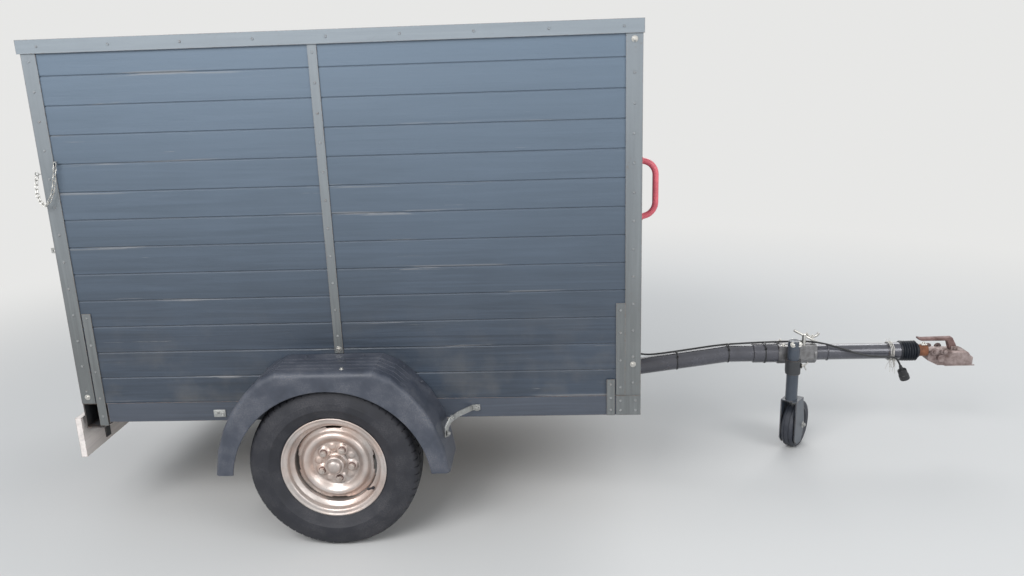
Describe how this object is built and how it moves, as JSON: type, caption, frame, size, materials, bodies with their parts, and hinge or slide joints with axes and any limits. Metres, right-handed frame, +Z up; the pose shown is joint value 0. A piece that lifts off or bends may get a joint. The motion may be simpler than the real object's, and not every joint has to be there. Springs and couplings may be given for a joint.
{
  "type": "utility trailer",
  "caption": "Single-axle box-bodied utility trailer with boarded sides, rear door, mudguards, tubular drawbar, ball coupling and jockey wheel.",
  "frame": {"origin": "on the ground at the middle of the whole trailer’s footprint", "axes": "+X forwards to the coupling, +Y to the trailer’s left, +Z up"},
  "size_m": [3.507, 1.6, 1.732],
  "materials": {
    "bar_paint": "dark glossy paint",
    "bellows_rubber": "moulded",
    "boards": "dark blue-grey paint on boards",
    "cable_black": "cable sheath",
    "dark_steel": "dark chassis paint",
    "drum": "rusty",
    "frame_paint": "grey-green brushed paint, worn",
    "galvanised": "galvanised",
    "guard_plastic": "weathered",
    "jockey_rubber": "weathered",
    "lamp_lens": "red lens",
    "plywood": "weathered plywood",
    "red_plastic": "faded red",
    "rim_silver": "worn silver paint",
    "roof_sheet": "dull grey paint",
    "rusty_steel": "rusty",
    "tyre": "weathered rubber",
    "white_paint": "white, slightly dirty",
    "worn_zinc": "corroded zinc"
  },
  "bodies": {
    "chassis": {"axle_beam": "dark_steel", "axle_brackets": "dark_steel", "bellows": "bellows_rubber", "brake_plates": "drum", "cable": "cable_black", "coupling_head": "worn_zinc", "coupling_lever": "rusty_steel", "coupling_tube": "bar_paint", "cross_members": "dark_steel", "door_header": "frame_paint", "drawbar": "bar_paint", "drawbar_bracket": "dark_steel", "drawbar_sleeve": "bar_paint", "floor": "plywood", "front_member": "frame_paint", "front_post_left": "frame_paint", "front_post_right": "frame_paint", "front_wall": "boards", "grab_handle": "red_plastic", "hinge_plates": "galvanised", "jockey_clamp": "dark_steel", "jockey_saddle": "galvanised", "latch_staple": "galvanised", "light_board": "white_paint", "light_board_brackets": "dark_steel", "mudguard_left": "guard_plastic", "mudguard_right": "guard_plastic", "mudguard_stays": "galvanised", "overrun_shaft": "rusty_steel", "plug": "cable_black", "rear_lamps": "lamp_lens", "rear_post_left": "frame_paint", "rear_post_right": "frame_paint", "rear_sill": "dark_steel", "roof": "roof_sheet", "roof_trim_front": "frame_paint", "roof_trim_left": "frame_paint", "roof_trim_rear": "frame_paint", "roof_trim_right": "frame_paint", "saddle_handle": "galvanised", "side_rail_left": "frame_paint", "side_rail_right": "frame_paint", "side_strips": "frame_paint", "side_wall_left": "boards", "side_wall_right": "boards", "suspension_arm_left": "dark_steel", "suspension_arm_right": "dark_steel"},
    "door": {"door_frame": "frame_paint", "door_boards": "boards", "hinge_straps": "galvanised", "door_latch": "galvanised"},
    "wheel_right": {"tyre_right": "tyre", "rim_right": "rim_silver", "hub_drum_right": "drum"},
    "wheel_left": {"tyre_left": "tyre", "rim_left": "rim_silver", "hub_drum_left": "drum"},
    "jockey_leg": {"jockey_leg": "bar_paint"},
    "jockey_fork": {"jockey_fork": "bar_paint"},
    "jockey_wheel": {"jockey_wheel": "jockey_rubber"}
  },
  "joints": [
    {"name": "rear_door", "type": "hinge", "parent": "chassis", "child": "door", "pos_m": [-1.6955, 0.556, 1.08], "axis": [0, 0, -1], "range_deg": [0, 180]},
    {"name": "wheel_right_spin", "type": "hinge", "parent": "chassis", "child": "wheel_right", "pos_m": [-0.7465, -0.7075, 0.295], "axis": [0, 1, 0], "continuous": true},
    {"name": "wheel_left_spin", "type": "hinge", "parent": "chassis", "child": "wheel_left", "pos_m": [-0.7465, 0.7075, 0.295], "axis": [0, 1, 0], "continuous": true},
    {"name": "jockey_slide", "type": "slide", "parent": "chassis", "child": "jockey_leg", "axis": [0, 0, 1], "range_m": [0, 0.105]},
    {"name": "jockey_swivel", "type": "hinge", "parent": "jockey_leg", "child": "jockey_fork", "pos_m": [0.9985, -0.07, 0.228], "axis": [0, 0, 1], "continuous": true},
    {"name": "jockey_wheel_spin", "type": "hinge", "parent": "jockey_fork", "child": "jockey_wheel", "pos_m": [1.03461, -0.02208, 0.1], "axis": [-0.7986, 0.6018, 0], "continuous": true}
  ]
}
